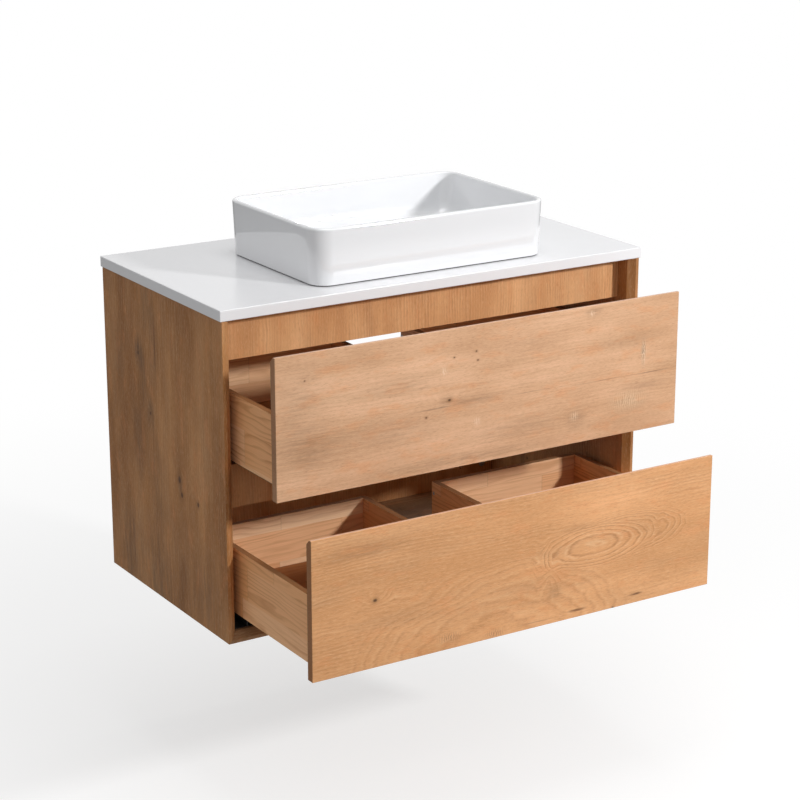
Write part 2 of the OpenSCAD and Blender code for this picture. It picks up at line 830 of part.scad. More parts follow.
left_side_panel();
right_side_panel();
bottom_panel();
top_front_rail();
middle_front_rail();
upper_fixing_rail();
lower_fixing_rail();
countertop();
basin();
basin_seal();
dowels();
cam_locks();
cam_bolts();
countertop_brackets();
bracket_screws();
upper_left_runner();
upper_right_runner();
lower_left_runner();
lower_right_runner();
runner_screws();
upper_left_middle_member();
upper_right_middle_member();
lower_left_middle_member();
lower_right_middle_member();
at_upper() drawer_front();  // upper_drawer_front
at_upper() drawer_side(-1);  // upper_drawer_left_side
at_upper() drawer_side(1);  // upper_drawer_right_side
at_upper() drawer_back(-1);  // upper_drawer_left_back
at_upper() drawer_back(1);  // upper_drawer_right_back
at_upper() drawer_cutout_wall(-1);  // upper_drawer_left_cutout_wall
at_upper() drawer_cutout_wall(1);  // upper_drawer_right_cutout_wall
at_upper() drawer_cutout_front();  // upper_drawer_cutout_front
at_upper() drawer_bottom();  // upper_drawer_bottom
at_upper() drawer_dowels();  // upper_drawer_dowels
at_upper() drawer_screws();  // upper_drawer_screws
at_upper() runner_in_drawer(-1);  // upper_left_drawer_member
at_upper() runner_in_drawer(1);  // upper_right_drawer_member
at_upper() catch_body(-1);  // upper_left_catch
at_upper() catch_body(1);  // upper_right_catch
at_upper() lever_body(-1);  // upper_left_lever
at_upper() lever_body(1);  // upper_right_lever
at_lower() drawer_front();  // lower_drawer_front
at_lower() drawer_side(-1);  // lower_drawer_left_side
at_lower() drawer_side(1);  // lower_drawer_right_side
at_lower() drawer_back(-1);  // lower_drawer_left_back
at_lower() drawer_back(1);  // lower_drawer_right_back
at_lower() drawer_cutout_wall(-1);  // lower_drawer_left_cutout_wall
at_lower() drawer_cutout_wall(1);  // lower_drawer_right_cutout_wall
at_lower() drawer_cutout_front();  // lower_drawer_cutout_front
at_lower() drawer_bottom();  // lower_drawer_bottom
at_lower() drawer_dowels();  // lower_drawer_dowels
at_lower() drawer_screws();  // lower_drawer_screws
at_lower() runner_in_drawer(-1);  // lower_left_drawer_member
at_lower() runner_in_drawer(1);  // lower_right_drawer_member
at_lower() catch_body(-1);  // lower_left_catch
at_lower() catch_body(1);  // lower_right_catch
at_lower() lever_body(-1);  // lower_left_lever
at_lower() lever_body(1);  // lower_right_lever
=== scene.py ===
import json
import math

import bmesh
import bpy
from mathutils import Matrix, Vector


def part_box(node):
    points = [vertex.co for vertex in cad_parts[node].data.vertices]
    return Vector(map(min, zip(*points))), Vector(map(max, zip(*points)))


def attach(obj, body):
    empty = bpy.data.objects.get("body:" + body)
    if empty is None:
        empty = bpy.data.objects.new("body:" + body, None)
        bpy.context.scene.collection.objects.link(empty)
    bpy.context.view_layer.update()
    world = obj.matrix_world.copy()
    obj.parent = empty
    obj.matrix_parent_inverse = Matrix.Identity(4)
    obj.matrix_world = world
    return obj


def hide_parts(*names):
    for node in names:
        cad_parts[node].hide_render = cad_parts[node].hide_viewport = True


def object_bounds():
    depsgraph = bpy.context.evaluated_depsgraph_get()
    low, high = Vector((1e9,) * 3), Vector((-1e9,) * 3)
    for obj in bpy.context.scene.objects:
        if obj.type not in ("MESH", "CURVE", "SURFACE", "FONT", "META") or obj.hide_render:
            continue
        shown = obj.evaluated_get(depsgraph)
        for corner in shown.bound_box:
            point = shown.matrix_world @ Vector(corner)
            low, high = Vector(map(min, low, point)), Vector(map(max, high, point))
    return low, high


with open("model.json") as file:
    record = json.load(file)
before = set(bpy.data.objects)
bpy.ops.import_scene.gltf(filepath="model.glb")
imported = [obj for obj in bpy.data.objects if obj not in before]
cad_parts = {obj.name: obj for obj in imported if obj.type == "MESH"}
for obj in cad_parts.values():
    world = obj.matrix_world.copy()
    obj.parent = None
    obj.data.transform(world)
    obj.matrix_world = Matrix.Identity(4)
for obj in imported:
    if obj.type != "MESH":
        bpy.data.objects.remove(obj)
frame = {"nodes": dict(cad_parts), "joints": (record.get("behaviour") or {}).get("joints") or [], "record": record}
cad_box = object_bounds()

# Camera
# It stands where the photograph was taken from, as worked out from the vanity's straight edges,
# and its long lens fills the square picture as the photograph does.
MM = 0.001
turn, tilt = math.radians(32.03), math.radians(16.94)
looking = Vector((math.sin(turn) * math.cos(tilt), math.cos(turn) * math.cos(tilt), -math.sin(tilt)))
camera_data = bpy.data.cameras.new("camera")
camera_data.sensor_width = 36
camera_data.lens = 101.2
camera = bpy.data.objects.new("camera", camera_data)
camera.location = Vector((-2145.8, -3766.0, 1035.25)) * MM
camera.rotation_euler = looking.to_track_quat("-Z", "Y").to_euler()
bpy.context.scene.collection.objects.link(camera)
bpy.context.scene.camera = camera


# Cabinet sides and bottom
# Chipboard faced with an oak decor foil, printed and embossed in register, so it has the colour
# and the pores of brushed oak but a hard, even, silky surface. The sides' grain stands upright.
def srgb(code):
    """The linear colour of an sRGB hex code, as the shaders take it."""
    parts = [int(code[i:i + 2], 16) / 255 for i in (1, 3, 5)]
    return (*[c / 12.92 if c <= 0.04045 else ((c + 0.055) / 1.055) ** 2.4 for c in parts], 1.0)


def add(tree, kind, inputs=None, stops=(), **settings):
    """Adds a node. An input is a constant, a socket, or a node that gives its first output, and a
    ramp's stops are pairs of place and grey level."""
    made = tree.nodes.new(kind)
    for name, value in settings.items():
        setattr(made, name, value)
    if stops:
        ramp = made.color_ramp.elements
        ramp[0].position, ramp[1].position = stops[0][0], stops[-1][0]
        for place, _ in stops[1:-1]:
            ramp.new(place)
        for stop, (_, level) in zip(ramp, stops):
            stop.color = (level, level, level, 1)
    for name, value in (inputs or {}).items():
        if isinstance(value, bpy.types.Node):
            value = value.outputs[0]
        if isinstance(value, bpy.types.NodeSocket):
            tree.links.new(value, made.inputs[name])
        else:
            made.inputs[name].default_value = value
    return made


def new_finish(name):
    """A material of that name with an empty node tree."""
    material = bpy.data.materials.new(name)
    material.use_nodes = True
    material.node_tree.nodes.clear()
    return material, material.node_tree


def shade(tree, inputs):
    """Ends a tree in one shader with these inputs."""
    shader = add(tree, "ShaderNodeBsdfPrincipled", inputs)
    add(tree, "ShaderNodeOutputMaterial", {"Surface": shader})


def grain_space(tree, long_axis, wide_axis):
    """Object coordinates turned so that X runs along the grain and Y across it."""
    place = add(tree, "ShaderNodeTexCoord").outputs["Object"]
    split = add(tree, "ShaderNodeSeparateXYZ", {"Vector": place})
    depth = ({"X", "Y", "Z"} - {long_axis, wide_axis}).pop()
    return add(tree, "ShaderNodeCombineXYZ", {
        "X": split.outputs[long_axis], "Y": split.outputs[wide_axis], "Z": split.outputs[depth]})


def streaks(tree, grain, length, width, detail, seed, stops=()):
    """Noise drawn out along the grain, with streaks of that length and width in mm. If there are
    stops, it goes through a ramp of them."""
    placed = add(tree, "ShaderNodeMapping", {
        "Vector": grain, "Location": (seed, 1.7 * seed, 0.3 * seed),
        "Scale": (1000 / length, 1000 / width, 1000 / width)})
    noise = add(tree, "ShaderNodeTexNoise", {
        "Vector": placed, "Scale": 1.0, "Detail": detail, "Roughness": 0.6})
    return add(tree, "ShaderNodeValToRGB", {"Fac": noise}, stops) if stops else noise


def patch(tree, grain, centre, reach, fall="SMOOTHSTEP"):
    """1 at a place on the board, falling to 0 at its reach along and across the grain, all in mm."""
    (along, across), (length, width) = centre, reach
    placed = add(tree, "ShaderNodeMapping", {
        "Vector": grain, "Location": (-along / length, -across / width, 0),
        "Scale": (1000 / length, 1000 / width, 0)})
    distance = add(tree, "ShaderNodeVectorMath", {0: placed}, operation="LENGTH")
    return add(tree, "ShaderNodeMapRange", {
        "Value": distance.outputs["Value"], "From Min": 0.0, "From Max": 1.0, "To Min": 1.0, "To Max": 0.0},
        interpolation_type=fall)


def total(tree, terms):
    """The sum of (node, weight) terms."""
    result = None
    for term, weight in terms:
        scaled = add(tree, "ShaderNodeMath", {0: term, 1: weight}, operation="MULTIPLY")
        result = scaled if result is None else add(tree, "ShaderNodeMath", {0: result, 1: scaled})
    return result


def paint(tree, base, factor, strength, code):
    """Lays a colour over a base, as strong as the factor times the strength."""
    amount = add(tree, "ShaderNodeMath", {0: factor, 1: strength}, operation="MULTIPLY", use_clamp=True)
    return add(tree, "ShaderNodeMixRGB", {"Fac": amount, "Color1": base, "Color2": srgb(code)})


def ring_lines(tree, grain, spots, seed, ring, loops, kinks, knots):
    """The growth rings' dark late-wood lines and the pale lines beside them."""
    kinked = []
    for along, across, length, width, lift in kinks:
        kinked.append((patch(tree, spots, (along, across), (length, width), "LINEAR"), lift))
    lifts = [(add(tree, "ShaderNodeSeparateXYZ", {"Vector": grain}).outputs["Y"], 1000 / ring),
             (streaks(tree, grain, 620, 105, 2, seed), 8.0), *kinked]
    for along, across, size in knots:
        lifts.append((patch(tree, spots, (along, across), (11 * size, 5.5 * size), "LINEAR"), 2.2))
    lifts.append((streaks(tree, grain, 30, 5, 2, seed + 2), 0.7))
    turned = add(tree, "ShaderNodeMath", {0: total(tree, lifts)}, operation="FRACT")
    dark = add(tree, "ShaderNodeValToRGB", {"Fac": turned},
               [(0.0, 0.0), (0.50, 0.0), (0.82, 1.0), (1.0, 0.0)])
    pale = add(tree, "ShaderNodeValToRGB", {"Fac": turned},
               [(0.0, 0.0), (0.14, 1.0), (0.42, 0.0), (1.0, 0.0)])
    broken = streaks(tree, grain, 26, 3.4, 3, seed + 8, [(0.36, 0.1), (0.62, 1.0)])
    strength = streaks(tree, grain, 230, 60, 2, seed + 7, [(0.38, 0.15), (0.62, 1.0)])
    broken = add(tree, "ShaderNodeMath", {0: broken, 1: strength}, operation="MULTIPLY")
    dark = add(tree, "ShaderNodeMath", {0: dark, 1: broken}, operation="MULTIPLY")
    pale = add(tree, "ShaderNodeMath", {0: pale, 1: broken}, operation="MULTIPLY")

    # A loop is a hump in the rings that the saw cut through: closed lines that crowd towards its rim
    worn = streaks(tree, grain, 34, 7, 3, seed + 13, [(0.34, 0.25), (0.56, 1.0)])
    for along, across, length, width, count, show in loops:
        near = patch(tree, grain, (along, across), (length, width), "LINEAR")
        outward = add(tree, "ShaderNodeMath", {0: 1.0, 1: near}, operation="SUBTRACT")
        crowded = add(tree, "ShaderNodeMath", {0: outward, 1: 2.1}, operation="POWER")
        heaped = total(tree, [(crowded, count), (streaks(tree, grain, 110, 44, 2, seed + 14), 1.5),
                              (streaks(tree, grain, 24, 6, 2, seed + 2), 0.4), *kinked])
        heaped = add(tree, "ShaderNodeMath", {0: heaped, 1: 0.25})
        turned = add(tree, "ShaderNodeMath", {0: heaped}, operation="FRACT")
        inside = add(tree, "ShaderNodeValToRGB", {"Fac": near}, [(0.0, 0.0), (0.16, 1.0)])
        shown = add(tree, "ShaderNodeMath", {0: worn, 1: show}, operation="MULTIPLY")
        dark_loop = add(tree, "ShaderNodeValToRGB", {"Fac": turned},
                        [(0.0, 0.0), (0.62, 0.0), (0.85, 1.0), (1.0, 0.0)])
        pale_loop = add(tree, "ShaderNodeValToRGB", {"Fac": turned},
                        [(0.0, 0.0), (0.12, 0.6), (0.34, 0.0), (1.0, 0.0)])
        dark_loop = add(tree, "ShaderNodeMath", {0: dark_loop, 1: shown}, operation="MULTIPLY")
        pale_loop = add(tree, "ShaderNodeMath", {0: pale_loop, 1: shown}, operation="MULTIPLY")
        dark = add(tree, "ShaderNodeMixRGB", {"Fac": inside, "Color1": dark, "Color2": dark_loop})
        pale = add(tree, "ShaderNodeMixRGB", {"Fac": inside, "Color1": pale, "Color2": pale_loop})
    return dark, pale


def oak_decor(name, long_axis, wide_axis, seed, pale, deep, ring=7.0, lines=0.30, loops=(), kinks=(),
              knots=(), smudges=(), splits=(), ripples=(), top_highlight=0.0, ends=0.0):
    """Oak foil between two colours, with growth rings of that width. Lines says how strongly they
    show. The last two arguments give a painted highlight on the upper edges and painted shade on
    the ends. A mark is its place along and across the grain, its reach both ways and its strength,
    and a split has the places of both its ends first. A loop has its number of rings before the
    strength, a kink shifts the rings by its last value, a ripple ends in its colour and a knot in
    its size. All in mm."""
    material, tree = new_finish(name)
    straight = grain_space(tree, long_axis, wide_axis)
    drift = streaks(tree, straight, 160, 60, 3, seed + 5)
    shift = add(tree, "ShaderNodeVectorMath", {
        0: drift.outputs["Color"], 1: (0.5, 0.5, 0.5)}, operation="SUBTRACT")
    shift = add(tree, "ShaderNodeVectorMath", {0: shift, 1: (20 * MM, 12 * MM, 0.0)}, operation="MULTIPLY")
    slight = add(tree, "ShaderNodeVectorMath", {0: shift, 1: (0.3, 0.3, 0.3)}, operation="MULTIPLY")
    grain = add(tree, "ShaderNodeVectorMath", {0: straight, 1: shift})
    spots = add(tree, "ShaderNodeVectorMath", {0: straight, 1: slight})
    dark_rows, pale_rows = ring_lines(tree, grain, spots, seed, ring, loops, kinks, knots)

    # Real pores are 0.2 mm wide; these are drawn about 1 mm wide so that they show in the picture
    pore_noise = streaks(tree, grain, 9, 1.0, 2, seed + 1)
    pores = add(tree, "ShaderNodeValToRGB", {"Fac": pore_noise}, [(0.55, 0.0), (0.70, 1.0)])
    glints = add(tree, "ShaderNodeValToRGB", {"Fac": pore_noise}, [(0.30, 1.0), (0.44, 0.0)])
    fibres = streaks(tree, grain, 80, 2.4, 3, seed + 6, [(0.3, 0.0), (0.7, 1.0)])

    # The print's layers: clouds, bands along the grain, grey sapwood and blushes under the fine lines
    clouds = streaks(tree, grain, 360, 110, 3, seed + 3, [(0.36, 0.0), (0.64, 1.0)])
    bands = streaks(tree, grain, 600, 20, 4, seed + 4, [(0.36, 0.0), (0.64, 1.0)])
    sapwood = streaks(tree, grain, 300, 50, 3, seed + 10, [(0.50, 0.0), (0.70, 1.0)])
    blush = streaks(tree, grain, 60, 22, 3, seed + 12, [(0.54, 0.0), (0.68, 1.0)])
    colour = add(tree, "ShaderNodeMixRGB", {"Fac": clouds, "Color1": srgb(pale), "Color2": srgb(deep)})
    for layer, strength, code in (
            (bands, 0.34, deep), (sapwood, 0.22, "#b4906c"), (fibres, 0.18, "#a9764b"),
            (blush, 0.30, "#d98f58"), (pale_rows, lines, "#f0cda4"), (dark_rows, 1.25 * lines, "#94623a"),
            (pores, 0.30, "#8a5c38"), (glints, 0.24, "#f0cda8")):
        colour = paint(tree, colour, layer, strength, code)

    # Single marks: smudges and long dark splits, both brushed thin, and pale or dark chatter ripples
    brushed = streaks(tree, grain, 50, 5, 3, seed + 9, [(0.34, 0.25), (0.62, 1.0)])
    waves = add(tree, "ShaderNodeTexWave", {
        "Vector": grain, "Scale": 66.0, "Distortion": 5.0, "Detail": 2.0, "Detail Scale": 2.0})
    marks = []
    for along, across, length, width, weight in smudges:
        marks.append(((along, across), (length, width), brushed, weight, "#6b5038"))
    for start, end, across, width, weight in splits:
        marks.append((((start + end) / 2, across), ((end - start) / 2, width), brushed, weight, "#5f3d22"))
    for along, across, length, width, code in ripples:
        marks.append(((along, across), (length, width), waves, 0.6, code))
    for centre, reach, texture, weight, code in marks:
        faded = add(tree, "ShaderNodeMath", {
            0: patch(tree, spots, centre, reach), 1: texture}, operation="MULTIPLY")
        colour = paint(tree, colour, faded, weight, code)
    cores = []
    for along, across, size in knots:
        halo = patch(tree, spots, (along, across), (3.6 * size, 2.8 * size))
        cores.append(patch(tree, spots, (along, across), (1.5 * size, 1.1 * size)))
        colour = paint(tree, colour, halo, 0.60, "#8c6038")
        colour = paint(tree, colour, cores[-1], 1.7, "#62432b")

    # Painted light on the edges, by the way each face points: pale highlight on top, brown shade on the ends
    normal = add(tree, "ShaderNodeNewGeometry").outputs["Normal"]
    facing = add(tree, "ShaderNodeSeparateXYZ", {"Vector": normal})
    sideways = add(tree, "ShaderNodeMath", {0: facing.outputs["X"]}, operation="ABSOLUTE")
    for towards, strength, code in ((facing.outputs["Z"], top_highlight, "#dfbca6"), (sideways, ends, "#7a4a22")):
        painted_edge_light = add(tree, "ShaderNodeValToRGB", {"Fac": towards}, [(0.80, 0.0), (0.95, 1.0)])
        colour = paint(tree, colour, painted_edge_light, strength, code)

    wear = streaks(tree, grain, 45, 30, 4, seed + 11, [(0.3, 0.0), (0.7, 1.0)])
    roughness = add(tree, "ShaderNodeMapRange", {"Value": wear, "To Min": 0.46, "To Max": 0.60})
    roughness = add(tree, "ShaderNodeMath", {0: pores, 1: 0.15, 2: roughness}, operation="MULTIPLY_ADD")
    height = total(tree, [(pores, -0.8), (dark_rows, -0.35), (pale_rows, 0.3), (fibres, 0.15),
                          *[(core, -0.6) for core in cores]])
    bump = add(tree, "ShaderNodeBump", {"Height": height, "Strength": 0.4, "Distance": 0.25 * MM})
    shade(tree, {"Base Color": colour, "Roughness": roughness, "Normal": bump, "Specular IOR Level": 0.35})
    return material


def finish_node(node, material):
    """Gives a CAD node one material and keeps its shape."""
    slots = frame["nodes"][node].data.materials
    slots.clear()
    slots.append(material)


finish_node("left_side_panel", oak_decor(
    "oak_foil_left_side", "Z", "Y", 3.1, "#cc935d", "#986331", ring=8.0, lines=0.22,
    loops=[(-340, -352, 120, 40, 4, 0.6)],
    knots=[(-286, -299, 6.4), (-313, -307, 4.8), (-311, -371, 4.2), (-190, -187, 3.2), (-84, -143, 3.6)],
    smudges=[(-81, -143, 44, 24, 1.00), (-120, -158, 100, 24, 0.70), (-190, -188, 50, 22, 0.80),
             # The broadest smudge, at the side's foot, darkens its lower part: it is painted shade
             (-500, -200, 130, 60, 0.55), (-535, -240, 230, 420, 0.42), (-475, -80, 150, 60, 0.60),
             (-330, -215, 180, 40, 0.50), (-120, -60, 170, 40, 0.35), (-292, -301, 46, 12, 0.50),
             (20, -180, 90, 50, 0.50), (-60, -205, 120, 28, 0.40), (-460, -400, 100, 70, 0.35),
             (-240, -130, 120, 40, 0.50)],
    splits=[(-130, 50, -212, 3.0, 0.75), (-290, -160, -197, 2.8, 0.45), (-316, -288, -303, 2.6, 0.90)]))
finish_node("right_side_panel", oak_decor(
    "oak_foil_right_side", "Z", "Y", 8.4, "#cc935d", "#986331", ring=8.0, lines=0.28,
    loops=[(-260, -240, 180, 50, 5, 0.6)],
    knots=[(-60, -330, 3.0), (-410, -120, 3.6), (-440, -150, 2.0)],
    smudges=[(-200, -260, 170, 30, 0.50), (-420, -130, 90, 30, 0.60)],
    splits=[(-400, -260, -340, 2.4, 0.70)]))
# The bottom's colours are darker and greyer than the sides': painted shade for the dim inside of the cabinet
finish_node("bottom_panel", oak_decor(
    "oak_foil_bottom_painted_shade", "X", "Y", 5.2, "#b5875c", "#8a6240",
    knots=[(210, -190, 3.0), (-260, -330, 2.4)],
    smudges=[(0, -120, 420, 130, 0.45)]))


# Rails
# The four rails between the sides are cut from the same faced board with the grain upright,
# so the front ones read as short vertical stripes under the top and between the drawers.
for number, rail in enumerate((
        "top_front_rail", "middle_front_rail", "upper_fixing_rail", "lower_fixing_rail")):
    seed = 12.3 + 3.7 * number
    finish_node(rail, oak_decor(
        "oak_foil_" + rail, "Z", "X", seed, "#eeb883", "#c98d58", ring=6.0, lines=0.28))


# Fittings of the cabinet's corners
# Zinc die-cast cam locks, steel cam bolts and beech dowels join the rails to the sides; the cams
# face inwards, where they are turned with a cross screwdriver.
def zinc_plate(name):
    """Bright zinc on steel: a bluish metal with faint cloudy patches and fine handling marks."""
    material, tree = new_finish(name)
    place = add(tree, "ShaderNodeTexCoord").outputs["Object"]
    clouds = add(tree, "ShaderNodeTexNoise", {"Vector": place, "Scale": 180.0, "Detail": 4.0})
    marks = add(tree, "ShaderNodeTexNoise", {"Vector": place, "Scale": 2600.0, "Detail": 2.0})
    colour = paint(tree, srgb("#c9cdd1"), clouds, 0.5, "#8f979f")
    dull = add(tree, "ShaderNodeMapRange", {"Value": clouds, "To Min": 0.24, "To Max": 0.44})
    bump = add(tree, "ShaderNodeBump", {"Height": marks, "Strength": 0.15, "Distance": 0.05 * MM})
    shade(tree, {"Base Color": colour, "Metallic": 1.0, "Roughness": dull, "Normal": bump})
    return material


zinc = zinc_plate("zinc_plated_steel")
finish_node("cam_bolts", zinc)
finish_node("cam_locks", zinc)


def turned_beech(name):
    """Dowel wood: pale beech, turned and fluted, with short brown flecks along it."""
    material, tree = new_finish(name)
    grain = grain_space(tree, "X", "Y")
    flecks = streaks(tree, grain, 5, 0.8, 2, 1.0, [(0.55, 0.0), (0.7, 1.0)])
    colour = paint(tree, srgb("#d9b489"), flecks, 0.5, "#a97b4f")
    bump = add(tree, "ShaderNodeBump", {"Height": flecks, "Strength": 0.2, "Distance": 0.1 * MM})
    shade(tree, {"Base Color": colour, "Roughness": 0.65, "Normal": bump})
    return material


beech = turned_beech("turned_beech")
for group in ("dowels", "upper_drawer_dowels", "lower_drawer_dowels"):
    finish_node(group, beech)


# Countertop and its brackets
# A 20 mm slab of white mineral-filled solid surface, sanded and polished to a soft gloss, held
# from below by four small bent steel brackets with rounded edges.
def solid_surface(name):
    """White solid surface: nearly even, with a trace of mineral grain and faint polishing haze."""
    material, tree = new_finish(name)
    place = add(tree, "ShaderNodeTexCoord").outputs["Object"]
    haze = add(tree, "ShaderNodeTexNoise", {"Vector": place, "Scale": 9.0, "Detail": 5.0, "Roughness": 0.6})
    mineral = add(tree, "ShaderNodeTexNoise", {"Vector": place, "Scale": 900.0, "Detail": 2.0})
    specks = add(tree, "ShaderNodeValToRGB", {"Fac": mineral}, [(0.55, 0.0), (0.7, 1.0)])
    colour = paint(tree, srgb("#ededef"), specks, 0.12, "#d2d2d6")
    gloss = add(tree, "ShaderNodeMapRange", {"Value": haze, "To Min": 0.16, "To Max": 0.27})
    bump = add(tree, "ShaderNodeBump", {"Height": haze, "Strength": 0.05, "Distance": 0.4 * MM})
    shade(tree, {"Base Color": colour, "Roughness": gloss, "Normal": bump, "IOR": 1.5})
    return material


record = frame["record"]
body_of_node = {node: body for body, members in record["behaviour"]["bodies"].items() for node in members}


def softened(node, radius, shortest=4 * MM):
    """A copy of a node with its sharp edges rounded, in place of the node. Edges under the shortest
    length stay sharp, such as those round a screw's hole."""
    mesh = bmesh.new()
    mesh.from_mesh(frame["nodes"][node].data)
    bmesh.ops.remove_doubles(mesh, verts=mesh.verts, dist=0.001 * MM)
    bmesh.ops.dissolve_limit(mesh, angle_limit=math.radians(1), verts=mesh.verts, edges=mesh.edges)
    sharp = [e for e in mesh.edges if e.calc_length() > shortest and e.calc_face_angle(0) > math.radians(40)]
    bmesh.ops.bevel(mesh, geom=sharp, offset=radius, segments=3, profile=0.5, affect="EDGES",
                    clamp_overlap=True)
    for face in mesh.faces:
        face.smooth = False
    data = bpy.data.meshes.new(node + "_rounded")
    mesh.to_mesh(data)
    mesh.free()
    piece = bpy.data.objects.new(node + "_rounded", data)
    bpy.context.scene.collection.objects.link(piece)
    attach(piece, body_of_node[node])
    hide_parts(node)
    return piece


finish_node("countertop", solid_surface("white_solid_surface"))
softened("countertop_brackets", 0.4 * MM).data.materials.append(zinc)


# Basin
# Slip-cast vitreous china, fired under a thick white glaze, so every edge is a soft round and the
# walls lean out a little. It stands on a thin bead of bedding sealant, coloured dark as painted shadow.
foot, rim_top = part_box("basin")
basin_centre = (foot + rim_top) / 2
BASIN_W, BASIN_D, BASIN_H = (rim_top - foot) / MM
CORNER, RIM, TAPER = 38, 9, 4
BOWL_INSET, BOWL_CORNER = 52, 19
WASTE_R = 23
BOWL_SHADE_REACH = (250, 170)
CORNER_STEPS, SIDE_STEPS = 14, 8


def round_loop(inset, corner):
    """Points round a rectangle with round corners, inset from the basin's rim, in mm."""
    half_w, half_d = BASIN_W / 2 - inset - corner, BASIN_D / 2 - inset - corner
    arcs = []
    for quarter, (side_x, side_y) in enumerate([(1, 1), (-1, 1), (-1, -1), (1, -1)]):
        angles = [math.radians(90 * quarter + 90 * step / CORNER_STEPS) for step in range(CORNER_STEPS + 1)]
        arcs.append([(half_w * side_x + corner * math.cos(angle), half_d * side_y + corner * math.sin(angle))
                     for angle in angles])
    points = []
    for arc, following in zip(arcs, arcs[1:] + arcs[:1]):
        (x0, y0), (x1, y1) = arc[-1], following[0]
        shares = [k / SIDE_STEPS for k in range(1, SIDE_STEPS)]
        points += arc + [(x0 + (x1 - x0) * share, y0 + (y1 - y0) * share) for share in shares]
    return points


def toward_circle(loop, radius, share):
    """A loop drawn towards a circle about the waste hole; share 1 is the circle itself."""
    moved = []
    for x, y in loop:
        angle = math.atan2(y / BASIN_D, x / BASIN_W)
        moved.append((x + (radius * math.cos(angle) - x) * share, y + (radius * math.sin(angle) - y) * share))
    return moved


def smooth_through(points, per_span):
    """Points on a smooth curve through the given ones."""
    curve = []
    for i in range(len(points) - 1):
        before, start = points[max(i - 1, 0)], points[i]
        end, after = points[i + 1], points[min(i + 2, len(points) - 1)]
        for k in range(per_span):
            t = k / per_span
            curve.append(tuple(
                0.5 * (2 * b + (c - a) * t + (2 * a - 5 * b + 4 * c - d) * t * t
                       + (3 * b - a - 3 * c + d) * t ** 3)
                for a, b, c, d in zip(before, start, end, after)))
    return curve + [points[-1]]


# The section as (inset from the rim's outline, height): up the outside, over the rim, down the bowl
outside = [(TAPER + 1.6, 0.0), (TAPER + 0.5, 0.4), (TAPER, 1.6), (TAPER * 0.52, BASIN_H * 0.5)]
rim_round = []
for degrees in range(0, 181, 15):
    angle = math.radians(degrees)
    rim_round.append((RIM / 2 - RIM / 2 * math.cos(angle), BASIN_H - RIM / 2 + RIM / 2 * math.sin(angle)))
bowl_wall = smooth_through([
    (RIM, BASIN_H - RIM / 2), (12, 82), (16, 60), (20, 42), (25.5, 31), (36, 22.5), (BOWL_INSET, 18.0)], 4)
section = outside + rim_round + bowl_wall[1:]
rings = [(round_loop(inset, max(CORNER - inset, BOWL_CORNER)), z) for inset, z in section]

# The bowl's floor falls to the waste, whose rounded edge turns down into the hole
floor_edge = round_loop(BOWL_INSET, BOWL_CORNER)
for share, z in [(0.2, 17.2), (0.4, 16.6), (0.6, 16.0), (0.8, 15.3), (0.94, 14.6), (1.0, 14.2)]:
    rings.append((toward_circle(floor_edge, WASTE_R + 9, share), z))
for wider, z in [(5, 13.8), (2, 13.2), (0.6, 12.2), (0, 10.8), (0, 0.0)]:
    rings.append((toward_circle(floor_edge, WASTE_R + wider, 1.0), z))

shell = bmesh.new()
rows = []
for loop, z in rings:
    rows.append([shell.verts.new((basin_centre.x + x * MM, basin_centre.y + y * MM, foot.z + z * MM))
                 for x, y in loop])
for lower, upper in zip(rows, rows[1:] + rows[:1]):
    for i in range(len(lower)):
        j = (i + 1) % len(lower)
        shell.faces.new((lower[i], lower[j], upper[j], upper[i])).smooth = True
bmesh.ops.recalc_face_normals(shell, faces=shell.faces)
basin_mesh = bpy.data.meshes.new("basin_bowl")
shell.to_mesh(basin_mesh)
shell.free()
basin = bpy.data.objects.new("basin_bowl", basin_mesh)
bpy.context.scene.collection.objects.link(basin)


def glazed_china(name):
    """Glazed china: bright white under a deep clear glaze whose surface rolls very slightly, with
    painted shade that makes the inside of the bowl a touch greyer."""
    material, tree = new_finish(name)
    place = add(tree, "ShaderNodeTexCoord").outputs["Object"]
    roll = add(tree, "ShaderNodeTexNoise", {"Vector": place, "Scale": 22.0, "Detail": 2.0})
    specks = add(tree, "ShaderNodeTexVoronoi", {"Vector": place, "Scale": 60.0})
    pinholes = add(tree, "ShaderNodeValToRGB", {"Fac": specks.outputs["Distance"]}, [(0.0, 1.0), (0.02, 0.0)])
    # Painted shade: the inside of the bowl is a touch greyer than the rim and the outside
    bowl_painted_shade = patch(tree, place, (basin_centre.x / MM, basin_centre.y / MM), BOWL_SHADE_REACH)
    colour = paint(tree, srgb("#ecedef"), pinholes, 0.25, "#c9c6c0")
    colour = paint(tree, colour, bowl_painted_shade, 3.0, "#d9dbdf")
    gloss = add(tree, "ShaderNodeMapRange", {"Value": roll, "To Min": 0.05, "To Max": 0.11})
    bump = add(tree, "ShaderNodeBump", {"Height": roll, "Strength": 0.12, "Distance": 0.5 * MM})
    shade(tree, {"Base Color": colour, "Roughness": gloss, "Normal": bump, "IOR": 1.52,
                 "Coat Weight": 1.0, "Coat Roughness": 0.03})
    return material


basin_mesh.materials.append(glazed_china("glazed_vitreous_china"))
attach(basin, "cabinet")
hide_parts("basin")


def sealant_dark_as_shadow(name):
    """Bedding sealant: a dull bead with finger marks, coloured dark as the painted shadow under the basin's foot.
    """
    material, tree = new_finish(name)
    place = add(tree, "ShaderNodeTexCoord").outputs["Object"]
    marks = add(tree, "ShaderNodeTexNoise", {"Vector": place, "Scale": 120.0, "Detail": 3.0})
    colour = paint(tree, srgb("#3d3c3b"), marks, 0.4, "#55524f")
    bump = add(tree, "ShaderNodeBump", {"Height": marks, "Strength": 0.3, "Distance": 0.3 * MM})
    shade(tree, {"Base Color": colour, "Roughness": 0.6, "Normal": bump})
    return material


finish_node("basin_seal", sealant_dark_as_shadow("bedding_sealant_painted_shadow"))


